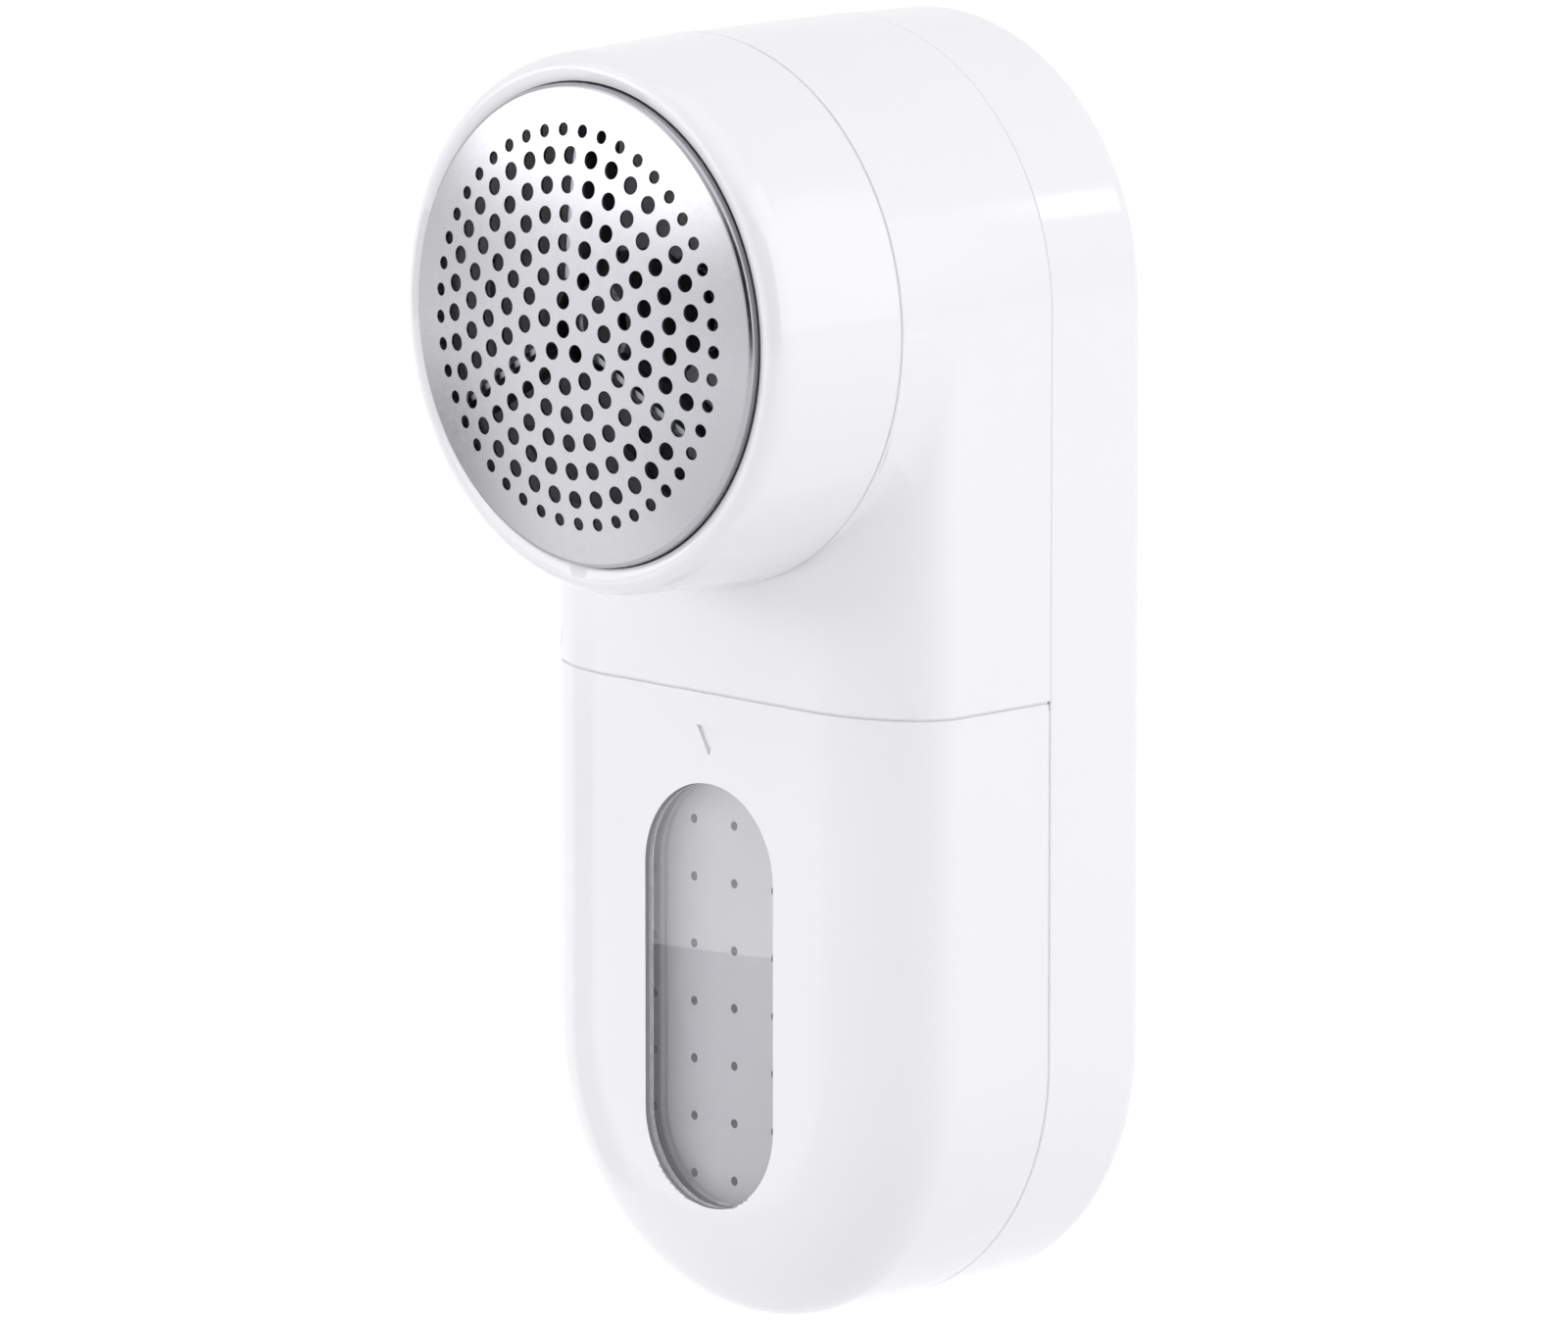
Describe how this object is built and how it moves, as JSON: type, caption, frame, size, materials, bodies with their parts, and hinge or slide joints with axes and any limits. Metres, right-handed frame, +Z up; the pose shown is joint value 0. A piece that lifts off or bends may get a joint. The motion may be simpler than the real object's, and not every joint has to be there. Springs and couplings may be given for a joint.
{
  "type": "fabric shaver",
  "caption": "Cordless hand-held fabric shaver with a round perforated foil head, a twist-off head ring, a slide-off lint box with a window, and a sliding battery door.",
  "frame": {"origin": "on the flat back face, where the drive axis meets it, on the plane of symmetry", "axes": "-Y the way the cutter faces, +Y out of the flat back, +Z up from the round tail to the head, +X to the right as seen from the front"},
  "size_m": [0.058, 0.0576, 0.1375],
  "materials": {
    "white_abs": "gloss",
    "grey_abs": "satin",
    "clear_plastic": "clear gloss",
    "filter_plastic": "satin",
    "foil_steel": "polished",
    "blade_steel": "ground",
    "hub_plastic": "moulded",
    "inner_plastic": "moulded",
    "spring_steel": "drawn",
    "screw_steel": "zinc plated",
    "motor_steel": "plated",
    "black_plastic": "moulded",
    "ferrite": "raw",
    "bronze": "sintered",
    "carbon": "raw",
    "brass": "plain",
    "copper": "enamelled",
    "shaft_steel": "ground",
    "cell_jacket": "printed film, plain",
    "contact_nickel": "nickel plated",
    "board_laminate": "solder mask"
  },
  "bodies": {
    "housing": {"front_housing": "white_abs", "twist_collar": "inner_plastic", "rear_cover": "white_abs", "housing_screws": "screw_steel", "cutter_plate": "inner_plastic", "plate_screws": "screw_steel", "lint_chute": "inner_plastic", "motor_can": "motor_steel", "motor_end_cap": "black_plastic", "motor_magnets": "ferrite", "motor_bushes": "bronze", "motor_brushes": "carbon", "motor_terminals": "brass", "motor_screws": "screw_steel", "motor_leads": "brass", "interlock_switch": "black_plastic", "interlock_leads": "brass", "battery_holder": "inner_plastic", "tray_screws": "screw_steel", "cell_left": "cell_jacket", "cell_right": "cell_jacket", "contact_bridge": "contact_nickel", "contact_positive": "contact_nickel", "contact_negative": "contact_nickel", "switch_body": "motor_steel", "switch_board": "board_laminate"},
    "foil_cap": {"shaving_foil": "foil_steel", "foil_carrier": "inner_plastic"},
    "head_ring": {"head_ring": "white_abs", "foil_retainer": "spring_steel"},
    "rotor": {"motor_shaft": "shaft_steel", "motor_armature": "motor_steel", "motor_windings": "copper", "motor_commutator": "copper", "drive_sleeve": "hub_plastic", "hub_clip": "spring_steel", "blade_spring": "spring_steel"},
    "blade_carrier": {"blade_hub": "hub_plastic", "cutter_blades": "blade_steel"},
    "interlock": {"interlock_plunger": "hub_plastic"},
    "lint_box": {"lint_box": "white_abs", "lint_window": "clear_plastic", "lint_filter": "filter_plastic"},
    "battery_door": {"battery_door": "white_abs"},
    "power_button": {"power_button": "grey_abs", "switch_slider": "black_plastic"}
  },
  "joints": [
    {"name": "head_lift", "type": "slide", "parent": "housing", "child": "foil_cap", "axis": [0, -1, 0], "range_m": [0, 0.008]},
    {"name": "head_twist", "type": "hinge", "parent": "foil_cap", "child": "head_ring", "pos_m": [0, -0.045, 0], "axis": [0, -1, 0], "range_deg": [0, 60]},
    {"name": "interlock_press", "type": "slide", "parent": "housing", "child": "interlock", "axis": [0, -1, 0], "range_m": [0, 0.0015]},
    {"name": "rotor_spin", "type": "hinge", "parent": "housing", "child": "rotor", "pos_m": [0, -0.03, 0], "axis": [0, -1, 0], "continuous": true},
    {"name": "blade_float", "type": "slide", "parent": "rotor", "child": "blade_carrier", "axis": [0, 1, 0], "range_m": [0, 0.0008], "stiffness_N_per_m": 300, "springref_m": -0.003, "deforming": ["blade_spring"]},
    {"name": "lint_box_slide", "type": "slide", "parent": "housing", "child": "lint_box", "axis": [0, 0, -1], "range_m": [0, 0.066]},
    {"name": "battery_door_slide", "type": "slide", "parent": "housing", "child": "battery_door", "axis": [0, 0, -1], "range_m": [0, 0.06]},
    {"name": "power_button_slide", "type": "slide", "parent": "housing", "child": "power_button", "axis": [0, 0, 1], "range_m": [0, 0.006]}
  ],
  "couplings": [
    {"joint": "head_lift", "follows": "head_twist", "m_per_rad": 0.0076394},
    {"joint": "interlock_press", "follows": "head_twist", "m_per_rad": 0.0014324}
  ]
}
